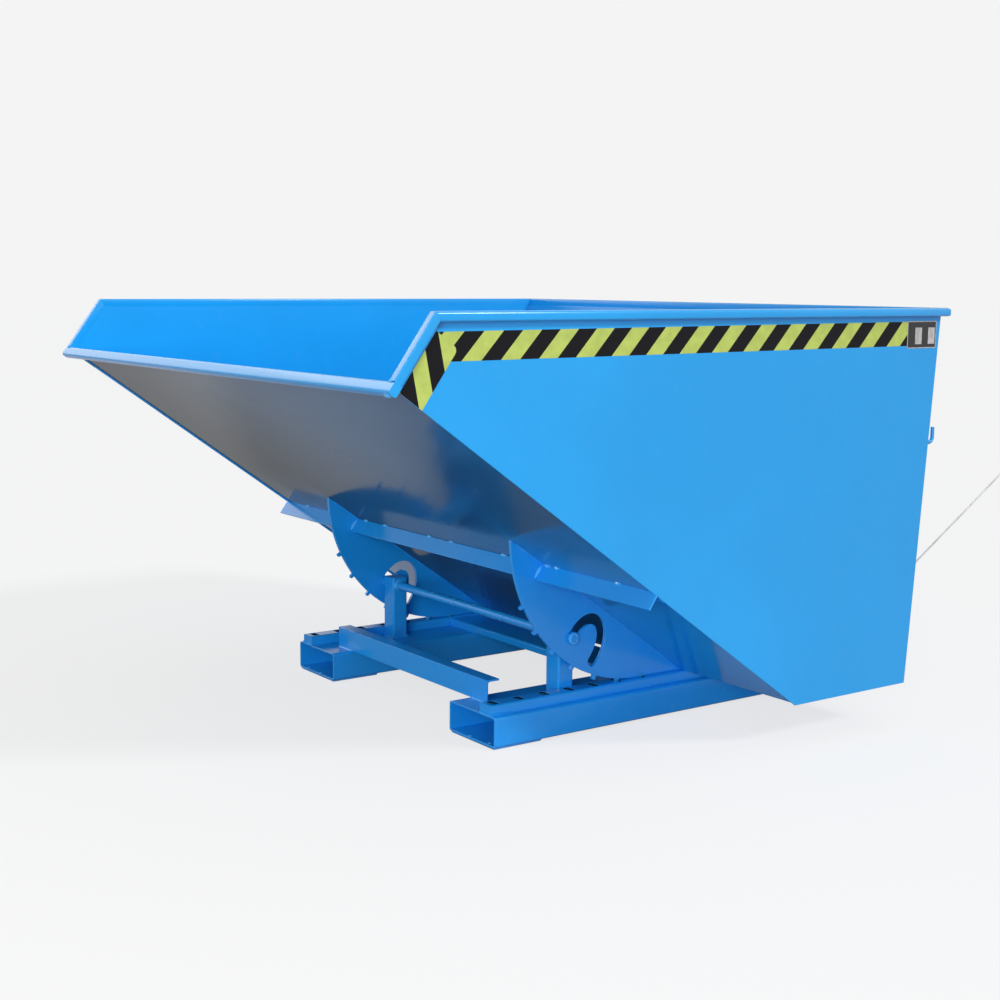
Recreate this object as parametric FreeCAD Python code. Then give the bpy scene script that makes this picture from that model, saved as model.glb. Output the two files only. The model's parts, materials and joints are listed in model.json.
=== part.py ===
"""Roll-off tipping skip for a fork-lift truck, in millimetres.

The front, over which the load slides out, faces -Y. +X is the right side and +Z is up. The origin is
on the floor, under the middle of the skip's own box. The bucket stands on two toothed rockers. They
roll forward along slotted rails on the fork pockets, and a fixed rod in a hooked slot keeps them down.
"""
import FreeCAD
import Part
import math
import os

# Driving dimensions of the whole skip
overall_length = 1722.0
overall_width = 1850.0
overall_height = 1105.0

# Driving dimensions of the bucket
cheek_rise = 139.0
cheek_angle = 54.5
rear_lean = 4.9
bottom_length = 407.0
sheet_thickness = 4.0
bottom_thickness = 6.0
panel_proud = 4.0
rim_overhang = 20.0
rim_depth = 22.0
rim_wall = 2.5

# Driving dimensions of the base
pocket_gap = 612.0
pocket_width = 205.0
pocket_height = 80.0
pocket_wall = 5.0
pocket_length = 1140.0
pocket_rear_inset = 24.0
skid_thickness = 5.0
rail_width = 50.0
rail_height = 26.0
rail_wall = 5.0
rail_inset = 21.0

# Driving dimensions of the rolling gear
roll_radius = 422.0
tip_angle = 66.0
rod_ahead = 223.0
rod_height = 136.0
rod_diameter = 25.0
rocker_thickness = 10.0
rocker_depth = 169.0
tooth_pitch_angle = 11.0
first_tooth_angle = -2.0
tooth_count = 7
tooth_depth = 12.0

# Clearances, and the length by which a cutting tool passes the face that it cuts
seat_gap = 0.3
running_gap = 0.3
overrun = 5.0

# Rounds of the sum that fits the sloping floor between the fold and the lip
slope_refinements = 8

# Levels and places that follow from the driving dimensions
half_length = overall_length / 2
half_width = overall_width / 2
pocket_top = skid_thickness + pocket_height
rail_top = pocket_top + rail_height
bucket_base = rail_top + seat_gap
panel_outer = half_width - rim_overhang
panel_inner = panel_outer - sheet_thickness
rim_under = overall_height - rim_depth
pocket_inner = pocket_gap / 2
pocket_outer = pocket_inner + pocket_width
pocket_rear = half_length - pocket_rear_inset
pocket_front = pocket_rear - pocket_length
rail_outer = pocket_outer - rail_inset
rail_inner = rail_outer - rail_width
rail_middle = (rail_inner + rail_outer) / 2
cheek_slope = math.radians(cheek_angle)
lean = math.radians(rear_lean)
rear_top_y = half_length - rim_overhang
rear_foot_y = rear_top_y - (rim_under - bucket_base) * math.tan(lean)
fold_y = rear_foot_y - bottom_length
floor_reach = fold_y + half_length
floor_rise = overall_height - cheek_rise - bucket_base
floor_slope = math.atan2(floor_rise, floor_reach)
for _ in range(slope_refinements):
    lip_drop = sheet_thickness * math.cos(floor_slope)
    lip_lead = rim_overhang * math.sin(floor_slope)
    floor_slope = math.atan2(floor_rise - lip_drop, floor_reach - lip_lead)
floor_length = (floor_reach - rim_overhang * math.sin(floor_slope)) / math.cos(floor_slope)
floor_end = floor_length - rim_depth
arc_radius = roll_radius - seat_gap
arc_to_floor = arc_radius - rocker_depth
contact_y = fold_y - (arc_radius * math.cos(floor_slope) - arc_to_floor) / math.sin(floor_slope)
centre_z = rail_top + roll_radius
rod_y = contact_y - rod_ahead
rod_z = rail_top + rod_height
SIDES = {"left": -1, "right": 1}


def meet(p, along_p, q, along_q):
    """The point where two lines of the side view cross, each given by a point and a direction."""
    turn = along_p[0] * along_q[1] - along_p[1] * along_q[0]
    gap = (q[0] - p[0], q[1] - p[1])
    step = (gap[0] * along_q[1] - gap[1] * along_q[0]) / turn
    return (p[0] + step * along_p[0], p[1] + step * along_p[1])


def on_floor(up, out):
    """A side-view point, by its run up the sloping floor from the fold and its distance below it."""
    y = fold_y - up * math.cos(floor_slope) - out * math.sin(floor_slope)
    z = bucket_base + up * math.sin(floor_slope) - out * math.cos(floor_slope)
    return (y, z)


def rear_y(z):
    """How far back the outer face of the leaning rear wall is at a height."""
    return rear_foot_y + (z - bucket_base) * math.tan(lean)


def prism(points, x_from, x_to):
    """A flat outline in the side view, given as (y, z) points, carried across from x_from to x_to."""
    corners = [FreeCAD.Vector(x_from, y, z) for y, z in points]
    face = Part.Face(Part.makePolygon(corners + corners[:1]))
    return face.extrude(FreeCAD.Vector(x_to - x_from, 0, 0))


def block(x_from, x_to, y_from, y_to, z_from, z_to):
    """A plain block between pairs of faces, given in either order."""
    low = FreeCAD.Vector(min(x_from, x_to), min(y_from, y_to), min(z_from, z_to))
    return Part.makeBox(abs(x_to - x_from), abs(y_to - y_from), abs(z_to - z_from), low)


def bar(x_from, x_to, y, z, diameter):
    """A round bar that runs across the skip."""
    start = FreeCAD.Vector(min(x_from, x_to), y, z)
    return Part.makeCylinder(diameter / 2, abs(x_to - x_from), start, FreeCAD.Vector(1, 0, 0))


def round_edges(shape, radius, wanted):
    """The shape with a fillet on each straight edge whose two ends satisfy the test."""
    chosen = [e for e in shape.Edges if len(e.Vertexes) == 2 and all(wanted(v.Point) for v in e.Vertexes)]
    return shape.makeFillet(radius, chosen)


def along_y(shape):
    """The shape's straight edges that run front to back."""
    return [e for e in shape.Edges if abs(e.tangentAt(e.FirstParameter).y) > math.cos(lean)]


def save(name, *solids):
    """Write one node, which may be a group of separate solids."""
    shape = solids[0] if len(solids) == 1 else Part.makeCompound(list(solids))
    shape.exportStep("parts/" + name + ".step")


os.makedirs("parts", exist_ok=True)

# Fork pockets, folded from plate and open at both ends, with wear skids under their ends
pocket_bend = 8.0
skid_length = 155.0
skid_bevel = 4.0
for side, sign in SIDES.items():
    near = sign * pocket_inner
    far = sign * pocket_outer
    tube = block(near, far, pocket_front, pocket_rear, skid_thickness, pocket_top)
    tube = tube.makeFillet(pocket_bend, along_y(tube))
    hollow = block(near + sign * pocket_wall, far - sign * pocket_wall, pocket_front - overrun,
                   pocket_rear + overrun, skid_thickness + pocket_wall, pocket_top - pocket_wall)
    hollow = hollow.makeFillet(pocket_bend - pocket_wall, along_y(hollow))
    save("fork_pocket_" + side, tube.cut(hollow))
    for end, outer_y, inward in (("front", pocket_front, 1), ("rear", pocket_rear, -1)):
        inner_y = outer_y + inward * skid_length
        profile = [(outer_y, skid_thickness), (inner_y, skid_thickness)]
        profile += [(inner_y - inward * skid_bevel, 0), (outer_y + inward * skid_bevel, 0)]
        skid = prism(profile, near + sign * pocket_bend, far - sign * pocket_bend)
        save("skid_" + end + "_" + side, skid)

# Slotted rails, inverted channels closed in front, with one slot for each rocker tooth
rail_bend = 6.0
rail_front_margin = 12.3
rail_rear_setback = 102.0
tooth_root = 12.0
tooth_tip = 8.0
tooth_room = 4.0
rail_slot_length = 34.0
tooth_angles = [math.radians(first_tooth_angle + k * tooth_pitch_angle) for k in range(tooth_count)]
slot_reach = tooth_root / 2 + tooth_room
rail_front = contact_y - roll_radius * tooth_angles[-1] - slot_reach - rail_front_margin
rail_rear = pocket_rear - rail_rear_setback
for side, sign in SIDES.items():
    near = sign * rail_inner
    far = sign * rail_outer
    channel = block(near, far, rail_front, rail_rear, pocket_top, rail_top)
    top_edges = [e for e in along_y(channel) if e.Vertexes[0].Point.z > (pocket_top + rail_top) / 2]
    channel = channel.makeFillet(rail_bend, top_edges)
    channel = channel.cut(block(near + sign * rail_wall, far - sign * rail_wall, rail_front + rail_wall,
                                rail_rear + overrun, pocket_top - overrun, rail_top - rail_wall))
    for angle in tooth_angles:
        slot_y = contact_y - roll_radius * angle
        channel = channel.cut(block(sign * (rail_middle - rail_slot_length / 2),
                                    sign * (rail_middle + rail_slot_length / 2), slot_y - slot_reach,
                                    slot_y + slot_reach, rail_top - rail_wall - overrun, rail_top + overrun))
    save("rail_" + side, channel)

# Front cross angle, standing on the pockets between the rails with its flange turned back
angle_height = 60.0
angle_flange = 40.0
angle_wall = 5.0
angle_root = 6.0
angle_setback = 63.0
angle_end_gap = 55.0
angle_front = pocket_front + angle_setback
angle_reach = rail_inner - angle_end_gap
angle_top = pocket_top + angle_height
profile = [(angle_front, pocket_top), (angle_front + angle_wall, pocket_top)]
profile += [(angle_front + angle_wall, angle_top - angle_wall)]
profile += [(angle_front + angle_flange, angle_top - angle_wall), (angle_front + angle_flange, angle_top)]
profile += [(angle_front, angle_top)]
cross_angle = prism(profile, -angle_reach, angle_reach)
angle_corner = profile[2]


def in_angle_corner(point):
    """Whether a point is on the inner corner line of the front cross angle."""
    return math.hypot(point.y - angle_corner[0], point.z - angle_corner[1]) < seat_gap


save("front_cross_angle", round_edges(cross_angle, angle_root, in_angle_corner))

# Rear cross channel, a shallow folded tray that ties the pockets under the bucket
tray_height = 22.0
tray_width = 150.0
tray_wall = 4.0
tray_bend = 6.0
tray_ahead = 5.0
tray_front = contact_y + tray_ahead
tray_top = pocket_top + tray_height
tray = block(-rail_inner, rail_inner, tray_front, tray_front + tray_width, pocket_top, tray_top)
tray_edges = [e for e in tray.Edges if abs(e.tangentAt(e.FirstParameter).x) > math.cos(lean)]
tray = tray.makeFillet(tray_bend, [e for e in tray_edges if e.Vertexes[0].Point.z > pocket_top + tray_bend])
tray = tray.cut(block(-rail_inner - overrun, rail_inner + overrun, tray_front + tray_wall,
                      tray_front + tray_width - tray_wall, pocket_top - overrun, tray_top - tray_wall))
save("rear_cross_channel", tray)

# Posts, box sections beside the rails, the guide rod that they hold through both rockers, and its collars
post_width = 56.0
post_depth = 50.0
post_ahead = 20.0
post_wall = 4.0
post_bend = 6.0
post_above_rod = 23.0
rod_collar_diameter = 34.0
rod_collar_room = 1.5
rod_collar_width = 8.0
rod_end_proud = 1.5
rocker_inner = rail_middle - rocker_thickness / 2
rocker_outer = rail_middle + rocker_thickness / 2
post_top = rod_z + post_above_rod
post_front = rod_y - post_ahead
post_rear = post_front + post_depth
for side, sign in SIDES.items():
    near = sign * (rail_inner - post_width)
    far = sign * rail_inner
    post = block(near, far, post_front, post_rear, pocket_top, post_top)
    uprights = [e for e in post.Edges if abs(e.tangentAt(e.FirstParameter).z) > math.cos(lean)]
    post = post.makeFillet(post_bend, uprights)
    post = post.cut(block(near + sign * post_wall, far - sign * post_wall, post_front + post_wall,
                          post_rear - post_wall, pocket_top - overrun, post_top - post_wall))
    rod_hole = bar(near - sign * overrun, far + sign * overrun, rod_y, rod_z, rod_diameter)
    save("post_" + side, post.cut(rod_hole))
collar_start = rocker_outer + rod_collar_room
collar_stop = collar_start + rod_collar_width
rod_reach = collar_stop + rod_end_proud
guide_rod = bar(-rod_reach, rod_reach, rod_y, rod_z, rod_diameter)
save("guide_rod", guide_rod)
collar_spans = [(rail_inner, rocker_inner - rod_collar_room), (collar_start, collar_stop)]
collars = [bar(sign * start, sign * stop, rod_y, rod_z, rod_collar_diameter).cut(guide_rod)
           for sign in SIDES.values() for start, stop in collar_spans]
save("rod_collars", *collars)

# Bucket sheets: bottom, sloping floor and leaning rear wall, mitred at the folds
floor_run = (math.cos(floor_slope), -math.sin(floor_slope))
lean_run = (math.sin(lean), math.cos(lean))
fold_out = (fold_y, bucket_base)
foot_out = (rear_foot_y, bucket_base)
inner_level = (fold_y, bucket_base + bottom_thickness)
wall_inner = (rear_foot_y - sheet_thickness / math.cos(lean), bucket_base)
fold_in = meet(on_floor(0, -sheet_thickness), floor_run, inner_level, (1, 0))
foot_in = meet(wall_inner, lean_run, inner_level, (1, 0))
wall_top_in = meet(wall_inner, lean_run, (0, rim_under), (1, 0))
wall_top_out = (rear_top_y, rim_under)
save("bottom_sheet", prism([fold_out, fold_in, foot_in, foot_out], -panel_inner, panel_inner))
floor_sheet_outline = [fold_out, on_floor(floor_end, 0), on_floor(floor_end, -sheet_thickness), fold_in]
save("sloping_floor", prism(floor_sheet_outline, -panel_inner, panel_inner))
rear_wall = prism([foot_out, foot_in, wall_top_in, wall_top_out], -panel_inner, panel_inner)
save("rear_wall", rear_wall)

# Front lip, a closed box section under the front edge of the floor, as wide as the rims
lip_cap = 3.0
lip_outline = [on_floor(floor_end, -sheet_thickness), on_floor(floor_length, -sheet_thickness)]
lip_outline += [on_floor(floor_length, rim_overhang), on_floor(floor_end, rim_overhang)]
lip_bore = [on_floor(floor_end + rim_wall, rim_wall - sheet_thickness)]
lip_bore += [on_floor(floor_length - rim_wall, rim_wall - sheet_thickness)]
lip_bore += [on_floor(floor_length - rim_wall, rim_overhang - rim_wall)]
lip_bore += [on_floor(floor_end + rim_wall, rim_overhang - rim_wall)]
lip_reach = half_width - lip_cap
lip_tool = prism(lip_bore, -half_width, half_width)
save("front_lip", prism(lip_outline, -lip_reach, lip_reach).cut(lip_tool))
save("lip_end_caps", *[prism(lip_outline, sign * lip_reach, sign * half_width) for sign in SIDES.values()])

# Side panels, flat plates that stand a little proud of the folded sheets all round
disc_diameter = 12.0
cheek_run = (math.cos(cheek_slope), math.sin(cheek_slope))
cheek_in = (math.sin(cheek_slope), -math.cos(cheek_slope))
lip_edge = on_floor(floor_length, -sheet_thickness)


def behind_cheek(depth):
    """A side-view point on the line that runs along the cheek, this deep behind its front edge."""
    return (lip_edge[0] + depth * cheek_in[0], lip_edge[1] + depth * cheek_in[1])


knee = meet(lip_edge, cheek_run, (0, overall_height), (1, 0))
knee_in = meet(behind_cheek(rim_depth), cheek_run, (0, rim_under), (1, 0))
panel_low = (fold_y, bucket_base - panel_proud)
panel_rear = (rear_foot_y + panel_proud / math.cos(lean), bucket_base)
panel_outline = [meet(panel_low, (1, 0), panel_rear, lean_run)]
panel_outline += [meet(panel_low, (1, 0), on_floor(0, panel_proud), floor_run)]
panel_outline += [meet(behind_cheek(rim_depth), cheek_run, on_floor(0, panel_proud), floor_run)]
panel_outline += [knee_in, meet((0, rim_under), (1, 0), panel_rear, lean_run)]
lip_solid = prism(lip_outline, -half_width, half_width)
for side, sign in SIDES.items():
    panel = prism(panel_outline, sign * panel_inner, sign * panel_outer).cut(lip_solid)
    disc_hole = bar(sign * (panel_inner - overrun), sign * (panel_outer + overrun), contact_y, centre_z,
                    disc_diameter + 2 * running_gap)
    save("side_panel_" + side, panel.cut(disc_hole))

# Rims, box sections on the edges of the panels and the rear wall, mitred where they meet
rear_rim_in = wall_top_in[0]
cheek_foot = meet(behind_cheek(rim_depth), cheek_run, on_floor(0, -sheet_thickness), floor_run)
rim_level = rim_under + rim_wall
rim_ceiling = overall_height - rim_wall


def rear_mitre(sign):
    """The corner of the rear rim's length that the mitre takes from a side rim's end."""
    corners = [(panel_inner, rear_rim_in), (half_width, half_length), (panel_inner, half_length + overrun)]
    points = [FreeCAD.Vector(sign * x, y, rim_under - overrun) for x, y in corners]
    face = Part.Face(Part.makePolygon(points + points[:1]))
    return face.extrude(FreeCAD.Vector(0, 0, rim_depth + 2 * overrun))


for side, sign in SIDES.items():
    near = sign * panel_inner
    far = sign * half_width
    bore_near = near + sign * rim_wall
    bore_far = far - sign * rim_wall
    rim = prism([knee, knee_in, (half_length, rim_under), (half_length, overall_height)], near, far)
    rim = rim.cut(block(bore_near, bore_far, knee[0] - rim_depth, half_length + overrun,
                        rim_level, rim_ceiling))
    save("rim_" + side, rim.cut(rear_mitre(sign)))
    cheek = prism([knee, knee_in, cheek_foot, lip_edge], near, far)
    low_front = behind_cheek(rim_wall)
    low_rear = behind_cheek(rim_depth - rim_wall)
    reach = overall_height - lip_edge[1]
    corners = [(low_front, -reach), (low_rear, -reach), (low_rear, 2 * reach), (low_front, 2 * reach)]
    bore = [(p[0] + t * cheek_run[0], p[1] + t * cheek_run[1]) for p, t in corners]
    save("cheek_rim_" + side, cheek.cut(prism(bore, bore_near, bore_far)))
rear_rim = block(-half_width, half_width, rear_rim_in, half_length, rim_under, overall_height)
rear_rim = rear_rim.cut(block(-half_width, half_width, rear_rim_in + rim_wall, half_length - rim_wall,
                              rim_level, rim_ceiling))
for sign in SIDES.values():
    corners = [(panel_inner, rear_rim_in), (half_width, half_length), (half_width + overrun, half_length)]
    corners += [(half_width + overrun, rear_rim_in - overrun), (panel_inner, rear_rim_in - overrun)]
    points = [FreeCAD.Vector(sign * x, y, rim_under - overrun) for x, y in corners]
    corner_tool = Part.Face(Part.makePolygon(points + points[:1]))
    rear_rim = rear_rim.cut(corner_tool.extrude(FreeCAD.Vector(0, 0, rim_depth + 2 * overrun)))
save("rim_rear", rear_rim)

# Toothed rockers: a plate under the floor with a rolling arc, teeth and the rod's hooked slot
rod_room = 2.0
slot_steps = 12
tooth_sunk = 3.0
slot_half = rod_diameter / 2 + rod_room


def at_arc(angle, radius):
    """A side-view point at an angle ahead of straight down, and a distance from the roll centre."""
    return (contact_y - radius * math.sin(angle), centre_z - radius * math.cos(angle))


def rod_in_rocker(angle):
    """Where the fixed rod stands in the rocker's own frame once the rocker has rolled this far."""
    ahead = rod_ahead - roll_radius * angle
    below = roll_radius - rod_height
    forward = ahead * math.cos(angle) + below * math.sin(angle)
    drop = below * math.cos(angle) - ahead * math.sin(angle)
    return (contact_y - forward, centre_z - drop)


def rod_heading(angle):
    """The unit direction in which the rod moves along the slot as the rocker rolls."""
    ahead = rod_ahead - roll_radius * angle
    below = roll_radius - rod_height
    forward = -roll_radius * math.cos(angle) - ahead * math.sin(angle) + below * math.cos(angle)
    drop = -below * math.sin(angle) + roll_radius * math.sin(angle) - ahead * math.cos(angle)
    size = math.hypot(forward, drop)
    return (-forward / size, -drop / size)


def slot_edge(angle, side):
    """A point on one long edge of the slot."""
    y, z = rod_in_rocker(angle)
    run = rod_heading(angle)
    return (y - side * slot_half * run[1], z + side * slot_half * run[0])


def slot_tip(angle, sense):
    """The middle of a slot's rounded end, beyond the rod in or against its heading."""
    y, z = rod_in_rocker(angle)
    run = rod_heading(angle)
    return (y + sense * slot_half * run[0], z + sense * slot_half * run[1])


def in_plane(x, point):
    """A side-view point set in the plane x."""
    return FreeCAD.Vector(x, point[0], point[1])


def smooth_edge(x, points):
    """One smooth curve through side-view points, in the plane x."""
    curve = Part.BSplineCurve()
    curve.interpolate([in_plane(x, p) for p in points])
    return curve.toShape()


def round_edge(x, start, middle, end):
    """An arc through three side-view points, in the plane x."""
    return Part.Arc(in_plane(x, start), in_plane(x, middle), in_plane(x, end)).toShape()


def straight_edge(x, start, end):
    """A straight edge between two side-view points, in the plane x."""
    return Part.makeLine(in_plane(x, start), in_plane(x, end))


tip_reach = floor_slope + math.acos(arc_to_floor / arc_radius)
roll_end = math.radians(tip_angle)
steps = [roll_end * k / slot_steps for k in range(slot_steps + 1)]
across = FreeCAD.Vector(rocker_thickness, 0, 0)
for side, sign in SIDES.items():
    x = min(sign * rocker_inner, sign * rocker_outer)
    tip = at_arc(tip_reach, arc_radius)
    contact = at_arc(0, arc_radius)
    outline = [round_edge(x, contact, at_arc(tip_reach / 2, arc_radius), tip)]
    outline += [straight_edge(x, tip, fold_out), straight_edge(x, fold_out, contact)]
    rocker = Part.Face(Part.Wire(outline)).extrude(across)
    for angle in tooth_angles:
        root = tooth_root / 2 / roll_radius
        crown = tooth_tip / 2 / roll_radius
        low = arc_radius - tooth_sunk
        high = roll_radius + tooth_depth
        tooth = [at_arc(angle - root, low), at_arc(angle - crown, high)]
        tooth += [at_arc(angle + crown, high), at_arc(angle + root, low)]
        rocker = rocker.fuse(prism(tooth, x, x + rocker_thickness))
    left_edge = [slot_edge(t, 1) for t in steps]
    right_edge = [slot_edge(t, -1) for t in steps]
    edges = [smooth_edge(x, left_edge), round_edge(x, left_edge[-1], slot_tip(roll_end, 1), right_edge[-1])]
    edges += [smooth_edge(x, right_edge[::-1]), round_edge(x, right_edge[0], slot_tip(0, -1), left_edge[0])]
    slot = Part.Face(Part.Wire(edges)).extrude(across)
    save("rocker_" + side, rocker.cut(slot).removeSplitter())

# Floor stiffener, an angle across the underside, cut at the rockers; its web passes under the panels
stiffener_leg_width = 45.0
stiffener_thickness = 5.0
stiffener_distance = 588.0
stiffener_end_gap = 1.0
stiffener_end_inset = 10.0
leg_foot = stiffener_distance - stiffener_leg_width
web_foot = stiffener_distance - stiffener_thickness
stiffener_outline = [on_floor(stiffener_distance, 0), on_floor(stiffener_distance, stiffener_leg_width)]
stiffener_outline += [on_floor(web_foot, stiffener_leg_width), on_floor(web_foot, stiffener_thickness)]
stiffener_outline += [on_floor(leg_foot, stiffener_thickness), on_floor(leg_foot, 0)]
save("stiffener_centre", prism(stiffener_outline, -rocker_inner, rocker_inner))
leg_end = panel_inner - stiffener_end_gap
web_clear = panel_proud + running_gap
web_outline = [on_floor(stiffener_distance, web_clear), on_floor(stiffener_distance, stiffener_leg_width)]
web_outline += [on_floor(web_foot, stiffener_leg_width), on_floor(web_foot, web_clear)]
for side, sign in SIDES.items():
    length = prism(stiffener_outline, sign * rocker_outer, sign * leg_end)
    web = prism(web_outline, sign * rocker_outer, sign * (half_width - stiffener_end_inset))
    save("stiffener_" + side, length.fuse(web).removeSplitter())

# Roll centre discs, the panels' own metal on the line about which the bucket turns as it rolls
save("roll_centre_discs", *[bar(sign * panel_inner, sign * panel_outer, contact_y, centre_z, disc_diameter)
                            for sign in SIDES.values()])

# Keepers, plates on the rear wall that the latch hooks hold down
latch_middle = (pocket_inner + pocket_outer) / 2
keeper_width = 56.0
keeper_reach = 25.0
keeper_above = 39.0
keeper_thickness = 10.0
keeper_low = bucket_base + keeper_above
keeper_high = keeper_low + keeper_thickness
keeper_rear = rear_y(keeper_low) + keeper_reach
keeper_outline = [(rear_y(keeper_low), keeper_low), (keeper_rear, keeper_low)]
keeper_outline += [(keeper_rear, keeper_high), (rear_y(keeper_high), keeper_high)]
for side, sign in SIDES.items():
    x = sign * latch_middle - keeper_width / 2
    save("keeper_" + side, prism(keeper_outline, x, x + keeper_width))

# Latch: lugs on the pockets carry one shaft with a hook over each keeper and a lever for the rope
shaft_diameter = 25.0
shaft_height = 33.0
shaft_inset = 10.0
shaft_past_lever = 8.0
shaft_past_collar = 6.0
collar_width = 12.0
collar_diameter = 40.0
lug_thickness = 8.0
lug_radius = 20.0
lug_spread = 108.0
lug_foot = 44.0
shaft_y = pocket_rear - shaft_inset
shaft_z = pocket_top + shaft_height
for side, sign in SIDES.items():
    pair = []
    for offset in (-lug_spread / 2, lug_spread / 2):
        x = sign * latch_middle + offset - lug_thickness / 2
        foot = [(shaft_y - lug_foot, pocket_top), (pocket_rear, pocket_top)]
        foot += [(shaft_y + shaft_inset, shaft_z), (shaft_y - lug_radius, shaft_z)]
        lug = prism(foot, x, x + lug_thickness)
        lug = lug.fuse(bar(x, x + lug_thickness, shaft_y, shaft_z, 2 * lug_radius))
        bore = bar(x - overrun, x + lug_thickness + overrun, shaft_y, shaft_z,
                   shaft_diameter + 2 * running_gap)
        pair.append(lug.cut(bore).removeSplitter())
    save("latch_lugs_" + side, *pair)
lever_x = 684.0
lever_thickness = 8.0
lever_hub = 20.0
lever_end = 14.0
lever_length = 108.0
lever_forward = 12.0
eye_diameter = 16.0
lug_edge = latch_middle + lug_spread / 2 + lug_thickness / 2
collar_near = lug_edge + running_gap
collar_far = collar_near + collar_width
shaft_left = -collar_far - shaft_past_collar
shaft_right = lever_x + lever_thickness + shaft_past_lever
save("latch_shaft", bar(shaft_left, shaft_right, shaft_y, shaft_z, shaft_diameter))
collars = []
for sign in SIDES.values():
    ring = bar(sign * collar_near, sign * collar_far, shaft_y, shaft_z, collar_diameter)
    collars.append(ring.cut(bar(0, sign * shaft_right, shaft_y, shaft_z, shaft_diameter)))
save("shaft_collars", *collars)
hook_thickness = 16.0
hook_hub = 22.0
hook_shank = 26.0
nose_gap = 3.0
nose_height = 15.0
nose_bevel = 6.0
nose_cover = 15.0
nose_low = keeper_high + nose_gap
nose_top = nose_low + nose_height
nose_front = keeper_rear - nose_cover
shank_front = keeper_rear + nose_gap
hook_outline = [(nose_front, nose_low), (shank_front, nose_low), (shaft_y - hook_hub, shaft_z)]
hook_outline += [(shaft_y + hook_hub, shaft_z), (shank_front + hook_shank, nose_top)]
hook_outline += [(nose_front + nose_bevel, nose_top), (nose_front, nose_top - nose_bevel)]
for side, sign in SIDES.items():
    x = sign * latch_middle - hook_thickness / 2
    hook = prism(hook_outline, x, x + hook_thickness)
    hook = hook.fuse(bar(x, x + hook_thickness, shaft_y, shaft_z, 2 * hook_hub))
    bore = bar(x - overrun, x + hook_thickness + overrun, shaft_y, shaft_z, shaft_diameter)
    save("latch_hook_" + side, hook.cut(bore).removeSplitter())
eye_y = shaft_y - lever_forward
eye_z = shaft_z + lever_length
arm_run = (eye_y - shaft_y, eye_z - shaft_z)
arm_size = math.hypot(arm_run[0], arm_run[1])
arm_side = (arm_run[1] / arm_size, -arm_run[0] / arm_size)
arm_outline = [(shaft_y - lever_hub * arm_side[0], shaft_z - lever_hub * arm_side[1])]
arm_outline += [(shaft_y + lever_hub * arm_side[0], shaft_z + lever_hub * arm_side[1])]
arm_outline += [(eye_y + lever_end * arm_side[0], eye_z + lever_end * arm_side[1])]
arm_outline += [(eye_y - lever_end * arm_side[0], eye_z - lever_end * arm_side[1])]
lever_far = lever_x + lever_thickness
lever = prism(arm_outline, lever_x, lever_far)
lever = lever.fuse(bar(lever_x, lever_far, shaft_y, shaft_z, 2 * lever_hub))
lever = lever.fuse(bar(lever_x, lever_far, eye_y, eye_z, 2 * lever_end))
lever = lever.cut(bar(lever_x - overrun, lever_far + overrun, shaft_y, shaft_z, shaft_diameter))
lever = lever.cut(bar(lever_x - overrun, lever_far + overrun, eye_y, eye_z, eye_diameter))
save("latch_lever", lever.removeSplitter())

# Release rope: a loop through the lever's eye, a taut run up to the truck, and an end knot
rope_diameter = 6.0
rope_loop_radius = 14.0
rope_run = 690.0
rope_rise = 32.2
knot_length = 24.0
knot_diameter = 18.0
full_turn = 360.0
pull = math.radians(rope_rise)
rope_heading = FreeCAD.Vector(0, math.cos(pull), math.sin(pull))
rope_square = FreeCAD.Vector(0, -math.sin(pull), math.cos(pull))
eye = FreeCAD.Vector(lever_x + lever_thickness / 2, eye_y, eye_z)
loop_sag = rope_loop_radius - math.sqrt(rope_loop_radius ** 2 - (lever_thickness / 2) ** 2)
eye_slack = eye_diameter / 2 - rope_diameter / 2 - running_gap - loop_sag
loop_middle = eye + rope_heading * (eye_slack + rope_loop_radius)
save("rope_loop", Part.makeTorus(rope_loop_radius, rope_diameter / 2, loop_middle, rope_square))
rope_start = loop_middle + rope_heading * (rope_loop_radius + rope_diameter / 2)
save("release_rope", Part.makeCylinder(rope_diameter / 2, rope_run, rope_start, rope_heading))
rope_stop = rope_start + rope_heading * rope_run
knot_neck = rope_diameter / 2
knot_swell = rope_square * (knot_diameter / 2)
knot_profile = [rope_stop, rope_stop + rope_square * knot_neck]
knot_middle = rope_stop + rope_heading * (knot_length / 2) + knot_swell
knot_tail = rope_stop + rope_heading * knot_length
knot_back = knot_tail + rope_square * knot_neck
knot_edges = [Part.makeLine(knot_profile[0], knot_profile[1])]
knot_edges += [Part.Arc(knot_profile[1], knot_middle, knot_back).toShape()]
knot_edges += [Part.makeLine(knot_back, knot_tail), Part.makeLine(knot_tail, knot_profile[0])]
knot = Part.Face(Part.Wire(knot_edges)).revolve(rope_stop, rope_heading, full_turn)
save("rope_knot", knot)

# Rope hook, a bent bar on the rear wall near the right side
hook_bar = 10.0
hook_edge_gap = 13.0
hook_rear_inset = 9.0
hook_bottom = 749.0
hook_rise = 41.0
hook_bend = 15.0
hook_half_turn = 45.0
hook_x = panel_inner - hook_edge_gap
hook_y = half_length - hook_rear_inset
bend_low = (hook_y - hook_bend, hook_bottom)
bend_high = (hook_y, hook_bottom + hook_bend)
bend_half = math.radians(hook_half_turn)
bend_middle = (hook_y - hook_bend + hook_bend * math.sin(bend_half),
               hook_bottom + hook_bend - hook_bend * math.cos(bend_half))
hook_start = (rear_y(hook_bottom) - sheet_thickness / 2, hook_bottom)
hook_path = Part.Wire([straight_edge(hook_x, hook_start, bend_low),
                       round_edge(hook_x, bend_low, bend_middle, bend_high),
                       straight_edge(hook_x, bend_high, (hook_y, hook_bottom + hook_rise))])
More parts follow.
